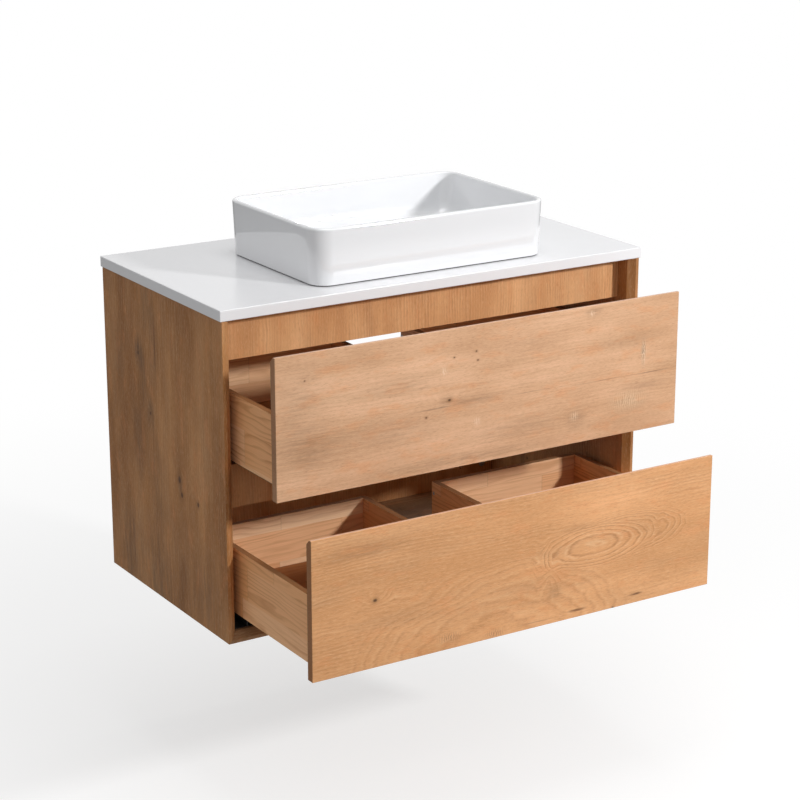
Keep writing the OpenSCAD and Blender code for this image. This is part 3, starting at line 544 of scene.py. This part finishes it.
# Runners
# Roll-formed steel channels in a black electro-coat: one member on the cabinet, one that goes half
# way and one under the drawer. Their bends are rounded and their running faces rubbed brighter.
def black_coat(name):
    """Electro-coated steel: even black, slightly orange-peeled, with grey rub marks along the travel."""
    material, tree = new_finish(name)
    place = add(tree, "ShaderNodeTexCoord").outputs["Object"]
    peel = add(tree, "ShaderNodeTexNoise", {"Vector": place, "Scale": 700.0, "Detail": 2.0})
    grain = grain_space(tree, "Y", "Z")
    rubs = streaks(tree, grain, 120, 0.9, 3, 4.0, [(0.55, 0.0), (0.72, 1.0)])
    colour = paint(tree, srgb("#393735"), rubs, 0.5, "#6f6c68")
    gloss = add(tree, "ShaderNodeMapRange", {"Value": rubs, "To Min": 0.42, "To Max": 0.28})
    bump = add(tree, "ShaderNodeBump", {"Height": peel, "Strength": 0.25, "Distance": 0.05 * MM})
    shade(tree, {"Base Color": colour, "Metallic": 0.35, "Roughness": gloss, "Normal": bump})
    return material


black_steel = black_coat("black_coated_steel")
for drawer in ("upper", "lower"):
    for side in ("left", "right"):
        for member in ("runner", "middle_member", "drawer_member"):
            softened(f"{drawer}_{side}_{member}", 0.5 * MM).data.materials.append(black_steel)


# Screws
# Steel screws with a cross recess: pan heads hold the flanges and the brackets, and countersunk
# ones are driven flush into the drawer boxes. Each group follows the CAD screws' own places.
def loose_solids(node):
    """The corner points of each separate solid in a node."""
    mesh = bmesh.new()
    mesh.from_mesh(frame["nodes"][node].data)
    bmesh.ops.remove_doubles(mesh, verts=mesh.verts, dist=0.001 * MM)
    left = set(mesh.verts)
    solids = []
    while left:
        found, edge = set(), [left.pop()]
        while edge:
            vert = edge.pop()
            found.add(vert)
            fresh = {e.other_vert(vert) for e in vert.link_edges} & left
            left -= fresh
            edge += fresh
        solids.append([v.co.copy() for v in found])
    mesh.free()
    return solids


def screw_axes(node):
    """For each screw in a group: the middle of its head, the way that the head faces, and its length."""
    for points in loose_solids(node):
        low = Vector([min(p[i] for p in points) for i in range(3)])
        high = Vector([max(p[i] for p in points) for i in range(3)])
        axis = max(range(3), key=lambda i: high[i] - low[i])
        middle = (low + high) / 2
        wide = {}
        for end, value in ((1, high[axis]), (-1, low[axis])):
            ring = [p for p in points if abs(p[axis] - value) < 0.1 * MM]
            wide[end] = max((p - middle).length_squared - (p[axis] - middle[axis]) ** 2 for p in ring)
        facing = max(wide, key=wide.get)
        head = middle.copy()
        head[axis] = (high if facing > 0 else low)[axis]
        out = Vector((0, 0, 0))
        out[axis] = facing
        yield head, out, high[axis] - low[axis]


def screw_shape(name, profile):
    """A turned screw with its head up at the origin: a spun profile with a cross cut into it, in mm."""
    body = bmesh.new()
    ring = [body.verts.new((r * MM, 0, z * MM)) for r, z in profile]
    for a, b in zip(ring, ring[1:]):
        body.edges.new((a, b))
    bmesh.ops.spin(body, geom=body.verts[:] + body.edges[:], cent=(0, 0, 0), axis=(0, 0, 1),
                   angle=2 * math.pi, steps=24, use_merge=True)
    bmesh.ops.remove_doubles(body, verts=body.verts, dist=0.0005 * MM)
    bmesh.ops.recalc_face_normals(body, faces=body.faces)
    data = bpy.data.meshes.new(name)
    body.to_mesh(data)
    body.free()
    turned = bpy.data.objects.new(name, data)
    bpy.context.scene.collection.objects.link(turned)

    # The recess's two bars narrow towards their lower end, as the driver's tip does
    span, slot, tall, raised, narrowing = 3.6, 0.8, 3.0, 0.1, 0.55
    cross = bmesh.new()
    for w, d in ((span, slot), (slot, span)):
        for v in bmesh.ops.create_cube(cross, size=1.0)["verts"]:
            narrow = narrowing if v.co.z < 0 else 1.0
            v.co = Vector((v.co.x * w * narrow, v.co.y * d * narrow, v.co.z * tall + raised)) * MM
    cutter_data = bpy.data.meshes.new(name + "_cross")
    cross.to_mesh(cutter_data)
    cross.free()
    cutter = bpy.data.objects.new(name + "_cross", cutter_data)
    bpy.context.scene.collection.objects.link(cutter)
    cut = turned.modifiers.new("recess", "BOOLEAN")
    cut.operation = "DIFFERENCE"
    cut.object = cutter
    cut.use_self = True
    shaped = turned.evaluated_get(bpy.context.evaluated_depsgraph_get())
    turned.data = bpy.data.meshes.new_from_object(shaped)
    turned.modifiers.clear()
    bpy.data.objects.remove(cutter)
    return turned


def scatter_tree(name):
    """Geometry nodes that stand one shape on each point, turned to the point's own direction."""
    tree = bpy.data.node_groups.new(name, "GeometryNodeTree")
    tree.interface.new_socket("Geometry", in_out="INPUT", socket_type="NodeSocketGeometry")
    tree.interface.new_socket("Shape", in_out="INPUT", socket_type="NodeSocketObject")
    tree.interface.new_socket("Material", in_out="INPUT", socket_type="NodeSocketMaterial")
    tree.interface.new_socket("Size", in_out="INPUT", socket_type="NodeSocketFloat")
    tree.interface.new_socket("Geometry", in_out="OUTPUT", socket_type="NodeSocketGeometry")
    given = add(tree, "NodeGroupInput")
    facing = add(tree, "GeometryNodeInputNamedAttribute", {"Name": "facing"}, data_type="FLOAT_VECTOR")
    turned = add(tree, "FunctionNodeAlignRotationToVector", {"Vector": facing}, axis="Z")
    shape = add(tree, "GeometryNodeObjectInfo", {"Object": given.outputs["Shape"]})
    points = add(tree, "GeometryNodeMeshToPoints", {"Mesh": given.outputs["Geometry"]})
    stood = add(tree, "GeometryNodeInstanceOnPoints", {
        "Points": points, "Instance": shape.outputs["Geometry"], "Rotation": turned,
        "Scale": given.outputs["Size"]})
    real = add(tree, "GeometryNodeRealizeInstances", {"Geometry": stood})
    coated = add(tree, "GeometryNodeSetMaterial", {"Geometry": real, "Material": given.outputs["Material"]})
    add(tree, "NodeGroupOutput", {"Geometry": coated})
    return tree


scatter = scatter_tree("fastener_scatter")


def scattered(name, places, shape, material, node):
    """Stands a shape on each (point, direction) and makes the result a plain mesh that stands for the
    node on its body."""
    data = bpy.data.meshes.new(name)
    data.from_pydata([tuple(point) for point, _ in places], [], [])
    facing = data.attributes.new("facing", "FLOAT_VECTOR", "POINT")
    for i, (_, direction) in enumerate(places):
        facing.data[i].vector = direction
    piece = bpy.data.objects.new(name, data)
    bpy.context.scene.collection.objects.link(piece)
    stand = piece.modifiers.new("scatter", "NODES")
    stand.node_group = scatter
    given = {"Shape": shape, "Material": material, "Size": 1.0}
    for item in scatter.interface.items_tree:
        if item.in_out == "INPUT" and item.name in given:
            stand[item.identifier] = given[item.name]
    graph = bpy.context.evaluated_depsgraph_get()
    plain = bpy.data.meshes.new_from_object(
        piece.evaluated_get(graph), preserve_all_data_layers=True, depsgraph=graph)
    piece.modifiers.clear()
    piece.data = plain
    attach(piece, body_of_node[node])
    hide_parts(node)


pan_screw = screw_shape("pan_screw", [
    (0, 0.0), (1.6, -0.05), (2.6, -0.35), (3.3, -1.0), (3.5, -1.6), (3.5, -2.0), (1.75, -2.0),
    (1.75, -12.2), (1.2, -13.2), (0, -14.0)])
for group in ("runner_screws", "bracket_screws"):
    places = [(head, out) for head, out, _ in screw_axes(group)]
    scattered(group + "_turned", places, pan_screw, zinc, group)
bpy.data.objects.remove(pan_screw)

LONG = 25 * MM
SUNK_HEAD = [(0, -0.15), (2.9, -0.1), (3.45, -0.05), (3.45, -0.25), (1.75, -2.0)]
long_screw = screw_shape("long_countersunk_screw", SUNK_HEAD + [(1.75, -31.0), (1.0, -33.0), (0, -34.0)])
short_screw = screw_shape("short_countersunk_screw", SUNK_HEAD + [(1.75, -15.0), (1.0, -16.3), (0, -17.0)])
for drawer in ("upper", "lower"):
    group = drawer + "_drawer_screws"
    screws = list(screw_axes(group))
    of_box = [(head, out) for head, out, length in screws if length > LONG]
    of_catches = [(head, out) for head, out, length in screws if length <= LONG]
    scattered(group + "_of_box", of_box, long_screw, zinc, group)
    scattered(group + "_of_catches", of_catches, short_screw, zinc, group)
bpy.data.objects.remove(long_screw)
bpy.data.objects.remove(short_screw)


# Drawer boxes
# Pale softwood boards, glued up from finger-jointed blocks and clear lacquered, so the tone jumps
# from block to block and the late wood shows as orange-brown lines. The edges are sanded round.
BLOCK_LENGTH, BLOCK_WIDTH, PINE_RING = 230, 62, 11
SANDED = 0.9 * MM


def jointed_pine(name, long_axis, wide_axis, seed, pale="#fdc898", deep="#f0af77", rings_show=0.6):
    """Glued-up pine: each block has its own rings and tone between two colours, under satin lacquer."""
    material, tree = new_finish(name)
    grain = grain_space(tree, long_axis, wide_axis)
    split = add(tree, "ShaderNodeSeparateXYZ", {"Vector": grain})
    row = add(tree, "ShaderNodeMath", {
        0: split.outputs["Y"], 1: 1000 / BLOCK_WIDTH, 2: seed}, operation="MULTIPLY_ADD")
    row = add(tree, "ShaderNodeMath", {0: row}, operation="FLOOR")
    slide = add(tree, "ShaderNodeTexWhiteNoise", {"W": row}, noise_dimensions="1D")
    place = add(tree, "ShaderNodeMath", {
        0: split.outputs["X"], 1: 1000 / BLOCK_LENGTH, 2: slide}, operation="MULTIPLY_ADD")
    column = add(tree, "ShaderNodeMath", {0: place}, operation="FLOOR")
    corner = add(tree, "ShaderNodeCombineXYZ", {"X": row, "Y": column, "Z": seed})
    block = add(tree, "ShaderNodeTexWhiteNoise", {"Vector": corner}, noise_dimensions="3D")
    apart = add(tree, "ShaderNodeVectorMath", {
        0: block.outputs["Color"], 1: (3.0, 3.0, 3.0)}, operation="MULTIPLY")
    own = add(tree, "ShaderNodeVectorMath", {0: grain, 1: apart})
    own_across = add(tree, "ShaderNodeSeparateXYZ", {"Vector": own}).outputs["Y"]

    rings = total(tree, [(own_across, 1000 / PINE_RING), (streaks(tree, own, 300, 50, 2, seed), 6.0),
                         (streaks(tree, own, 60, 8, 2, seed + 1), 0.35)])
    rings = add(tree, "ShaderNodeMath", {0: rings}, operation="FRACT")
    late_wood = add(tree, "ShaderNodeValToRGB", {"Fac": rings},
                    [(0.0, 0.1), (0.5, 0.1), (0.82, 1.0), (0.96, 0.6), (1.0, 0.1)])
    strength = streaks(tree, own, 240, 50, 2, seed + 3, [(0.35, 0.2), (0.65, 1.0)])
    lines = add(tree, "ShaderNodeMath", {0: late_wood, 1: strength}, operation="MULTIPLY")
    fibres = streaks(tree, own, 70, 1.6, 3, seed + 2, [(0.35, 0.0), (0.65, 1.0)])
    along_block = add(tree, "ShaderNodeMath", {0: place}, operation="FRACT")
    joint = add(tree, "ShaderNodeValToRGB", {"Fac": along_block}, [(0.0, 1.0), (0.006, 0.0)])

    # Faces that point up are darker, a painted shade, and duller than the planed faces
    normal = add(tree, "ShaderNodeNewGeometry").outputs["Normal"]
    upward = add(tree, "ShaderNodeSeparateXYZ", {"Vector": normal}).outputs["Z"]
    upward_painted_shade = add(tree, "ShaderNodeValToRGB", {"Fac": upward}, [(0.55, 0.0), (0.95, 1.0)])
    colour = add(tree, "ShaderNodeMixRGB", {"Fac": block, "Color1": srgb(pale), "Color2": srgb(deep)})
    for layer, weight, code in (
            (fibres, 0.25, "#c98e58"), (lines, rings_show, "#ad6a36"), (joint, 0.35, "#7a4c2a"),
            (upward_painted_shade, 0.80, "#8a5a33")):
        colour = paint(tree, colour, layer, weight, code)

    wear = streaks(tree, own, 60, 25, 3, seed + 4)
    gloss = add(tree, "ShaderNodeMapRange", {"Value": wear, "To Min": 0.34, "To Max": 0.50})
    gloss = add(tree, "ShaderNodeMath", {0: upward_painted_shade, 1: 0.5, 2: gloss}, operation="MULTIPLY_ADD", use_clamp=True)
    height = total(tree, [(lines, 0.4), (fibres, 0.2), (joint, -0.6)])
    bump = add(tree, "ShaderNodeBump", {"Height": height, "Strength": 0.25, "Distance": 0.2 * MM})
    shade(tree, {"Base Color": colour, "Roughness": gloss, "Normal": bump, "Specular IOR Level": 0.2})
    return material


for number, drawer in enumerate(("upper", "lower")):
    seed = 2.3 + 4.1 * number
    lengthwise = jointed_pine(f"lacquered_pine_{drawer}_sides", "Y", "Z", seed)
    # The backs' paler colours are painted light on the back walls, which face the lamp inside the open drawers
    backs_painted_paler = jointed_pine(
        f"lacquered_pine_{drawer}_backs", "X", "Z", seed + 1.1, "#ffdab2", "#f3b886", rings_show=0.40)
    board = jointed_pine(f"lacquered_pine_{drawer}_bottom", "X", "Y", seed + 2.2)
    for part in ("left_side", "right_side", "left_cutout_wall", "right_cutout_wall"):
        softened(f"{drawer}_drawer_{part}", SANDED).data.materials.append(lengthwise)
    for part in ("left_back", "right_back", "cutout_front"):
        softened(f"{drawer}_drawer_{part}", SANDED).data.materials.append(backs_painted_paler)
    finish_node(drawer + "_drawer_bottom", board)


# Drawer fronts
# Slabs of the same faced board with the grain lying across the vanity, cut from one wide piece
# of decor. The upper one has pin knots and a long dark line, the lower one a large looped figure.
finish_node("upper_drawer_front", oak_decor(
    "oak_foil_upper_front", "X", "Z", 21.7, "#e6b893", "#c99b75", lines=0.15, top_highlight=0.60, ends=0.60,
    loops=[(-60, -40, 120, 26, 3, 0.35)],
    kinks=[(-100, -112, 16, 14, 1.2)],
    knots=[(-370, -29, 1.2), (-70, -34, 1.4), (-23, -29, 1.7), (-20, -46, 1.7), (-79, -110, 3.0),
           (-127, -134, 1.8)],
    smudges=[(-86, -108, 22, 12, 0.40), (-30, -118, 120, 14, 0.34), (231, 6, 30, 14, 0.40),
             (196, -190, 34, 26, 0.36), (-371, -150, 110, 70, 0.40), (-380, -60, 70, 90, 0.26),
             (-40, -222, 260, 16, 0.34), (345, -150, 90, 16, 0.30), (60, -185, 150, 30, 0.26),
             (-200, -150, 150, 40, 0.26), (-180, -70, 130, 30, 0.22), (300, -60, 120, 22, 0.16),
             (100, -30, 90, 24, 0.12), (347, -86, 8, 36, 0.62), (318, -176, 66, 26, 0.30)],
    splits=[(-170, -40, -121, 2.0, 0.70), (20, 180, -122, 1.6, 0.45), (150, 330, -125, 1.7, 0.60),
            (290, 440, -126, 1.8, 0.70)],
    ripples=[(348, -86, 9, 36, "#f2d8ba"), (-91, -56, 10, 12, "#f0d3b4"), (-21, -158, 12, 12, "#f0d3b4"),
             (191, -184, 14, 14, "#f0d3b4"), (227, 4, 8, 9, "#f0d3b4"), (314, -173, 62, 27, "#e9cba6")]))
finish_node("lower_drawer_front", oak_decor(
    "oak_foil_lower_front", "X", "Z", 34.9, "#ecb07c", "#cf9663", lines=0.27, top_highlight=0.60, ends=0.75,
    loops=[(-60, -535, 320, 172, 8, 0.75), (218, -384, 165, 50, 7, 1.35), (154, -392, 138, 44, 5, 1.70)],
    kinks=[(44, -396, 22, 60, 1.9), (60, -440, 28, 44, -2.0), (-290, -384, 26, 20, 1.6),
           (300, -380, 14, 50, 0.8), (-190, -424, 110, 44, 2.0), (20, -402, 60, 34, -1.2)],
    knots=[(-303, -399, 3.6), (204, -521, 1.8)],
    smudges=[(74, -464, 24, 28, 0.36), (-318, -305, 150, 22, 0.40), (120, -350, 60, 12, 0.16),
             (30, -440, 120, 20, 0.14), (-250, -440, 160, 30, 0.12)],
    splits=[(96, 152, -508, 4.2, 1.30), (230, 278, -505, 3.6, 1.30), (-40, 110, -512, 1.8, 0.40)],
    ripples=[(-55, -514, 30, 12, "#8a6040"), (-151, -500, 34, 13, "#8a6040")]))


# Catches and release levers
# Moulded black nylon under the drawers' front corners: a screwed-on body, and a lever whose
# finger pad has grip ribs. Moulding leaves every edge rounded and the faces finely sparked.
def moulded_nylon(name):
    """Black nylon with a fine spark-eroded texture and a faint sheen where fingers rub."""
    material, tree = new_finish(name)
    place = add(tree, "ShaderNodeTexCoord").outputs["Object"]
    spark = add(tree, "ShaderNodeTexNoise", {"Vector": place, "Scale": 1800.0, "Detail": 3.0})
    rubbed = add(tree, "ShaderNodeTexNoise", {"Vector": place, "Scale": 60.0, "Detail": 2.0})
    colour = paint(tree, srgb("#1d1d1e"), rubbed, 0.5, "#303032")
    gloss = add(tree, "ShaderNodeMapRange", {"Value": rubbed, "To Min": 0.38, "To Max": 0.58})
    bump = add(tree, "ShaderNodeBump", {"Height": spark, "Strength": 0.4, "Distance": 0.06 * MM})
    shade(tree, {"Base Color": colour, "Roughness": gloss, "Normal": bump})
    return material


nylon = moulded_nylon("moulded_black_nylon")
PAD_R, RIB_R, RIB_H = 7 * MM, 0.5 * MM, 4.6 * MM
RIB_SUNK, RIB_PITCH = 0.15 * MM, 15
rod = bmesh.new()
bmesh.ops.create_cone(rod, cap_ends=True, segments=8, radius1=RIB_R, radius2=RIB_R, depth=RIB_H)
ends = [edge for edge in rod.edges if abs(edge.verts[0].co.z - edge.verts[1].co.z) < 0.1 * MM]
bmesh.ops.bevel(rod, geom=ends, offset=RIB_R / 2, segments=2, profile=0.5, affect="EDGES")
rib_mesh = bpy.data.meshes.new("grip_rib")
rod.to_mesh(rib_mesh)
rod.free()
grip_rib = bpy.data.objects.new("grip_rib", rib_mesh)
bpy.context.scene.collection.objects.link(grip_rib)
for drawer in ("upper", "lower"):
    for side in ("left", "right"):
        catch, lever = f"{drawer}_{side}_catch", f"{drawer}_{side}_lever"
        softened(catch, 0.5 * MM, shortest=0.3 * MM).data.materials.append(nylon)
        softened(lever, 0.4 * MM, shortest=0.3 * MM).data.materials.append(nylon)
        low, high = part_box(lever)
        pivot = next(joint["pos_m"] for joint in frame["joints"] if joint["child"] == lever)
        pad = Vector((pivot[0], low.y + PAD_R, (low.z + high.z) / 2))
        places = []
        for degrees in range(-180, 1, RIB_PITCH):
            angle = math.radians(degrees)
            outward = Vector((math.cos(angle), math.sin(angle), 0))
            places.append((pad + outward * (PAD_R - RIB_SUNK), (0, 0, 1)))
        scattered(lever + "_ribs", places, grip_rib, nylon, lever)
bpy.data.objects.remove(grip_rib)


# Floor and light
# A plain floor well below the hung vanity fades to white, under a soft sky a little brighter at the
# front left. A small low lamp at the front right throws crisp shadows, and a weak wide one is above.
FLOOR_HALF, FLOOR_DROP = 60.0, 0.35
FADE_START, FADE_END, FLOOR_GLOW = 0.5, 2.4, 0.54
floor_z = cad_box[0].z - FLOOR_DROP
corners = [(x * FLOOR_HALF, y * FLOOR_HALF, floor_z) for x, y in ((-1, -1), (1, -1), (1, 1), (-1, 1))]
floor_mesh = bpy.data.meshes.new("floor")
floor_mesh.from_pydata(corners, [], [(0, 1, 2, 3)])
floor = bpy.data.objects.new("floor", floor_mesh)
bpy.context.scene.collection.objects.link(floor)
floor_paint, tree = new_finish("pale_floor")
seen = add(tree, "ShaderNodeLightPath").outputs["Is Camera Ray"]
spot = add(tree, "ShaderNodeTexCoord").outputs["Object"]
distance = add(tree, "ShaderNodeVectorMath", {0: spot}, operation="LENGTH").outputs["Value"]
far = add(tree, "ShaderNodeMapRange", {"Value": distance, "From Min": FADE_START, "From Max": FADE_END},
          interpolation_type="SMOOTHSTEP")
dust = add(tree, "ShaderNodeTexNoise", {"Vector": spot, "Scale": 3.0})
tone = paint(tree, srgb("#c0c0c0"), dust, 0.1, "#b9b9b9")
lift = add(tree, "ShaderNodeMath", {0: seen, 1: FLOOR_GLOW}, operation="MULTIPLY")
near = add(tree, "ShaderNodeBsdfPrincipled", {
    "Base Color": tone, "Roughness": 0.9, "Specular IOR Level": 0.0,
    "Emission Color": (1, 1, 1, 1), "Emission Strength": lift})
away = add(tree, "ShaderNodeEmission", {"Color": (1, 1, 1, 1), "Strength": 1.0})
fade = add(tree, "ShaderNodeMath", {0: far, 1: seen}, operation="MULTIPLY")
blend = add(tree, "ShaderNodeMixShader", {0: fade, 1: near, 2: away})
add(tree, "ShaderNodeOutputMaterial", {"Surface": blend})
floor_mesh.materials.append(floor_paint)

sky = bpy.data.worlds.new("sky")
sky.use_nodes = True
bpy.context.scene.world = sky
tree = sky.node_tree
tree.nodes.clear()
path = add(tree, "ShaderNodeLightPath")
shown = path.outputs["Is Camera Ray"]
for ray in ("Is Glossy Ray", "Is Transmission Ray"):
    shown = add(tree, "ShaderNodeMath", {0: shown, 1: path.outputs[ray]}, operation="MAXIMUM")
heading = add(tree, "ShaderNodeTexCoord").outputs["Generated"]
soft = add(tree, "ShaderNodeVectorMath", {0: heading, 1: (-0.10, -0.08, 0.0)}, operation="DOT_PRODUCT")
soft = add(tree, "ShaderNodeMath", {0: soft.outputs["Value"], 1: 0.40})
level = add(tree, "ShaderNodeMath", {0: soft, 1: shown}, operation="MAXIMUM")
backdrop = add(tree, "ShaderNodeBackground", {"Color": (1, 1, 1, 1), "Strength": level})
add(tree, "ShaderNodeOutputWorld", {"Surface": backdrop})

aim, LAMP_AWAY = Vector((0.0, -0.35, -0.15)), 4.0
for name, direction, size, power in (
        ("key", (0.47, -0.80, 0.37), 0.3, 103), ("overhead", (0.0, -0.1, 1.0), 2.4, 46)):
    lamp_data = bpy.data.lights.new(name, "AREA")
    lamp_data.size = size
    lamp_data.energy = power
    lamp = bpy.data.objects.new(name, lamp_data)
    lamp.location = aim + Vector(direction).normalized() * LAMP_AWAY
    lamp.rotation_euler = (aim - lamp.location).to_track_quat("-Z", "Y").to_euler()
    bpy.context.scene.collection.objects.link(lamp)

bpy.context.scene.view_settings.view_transform = "Standard"
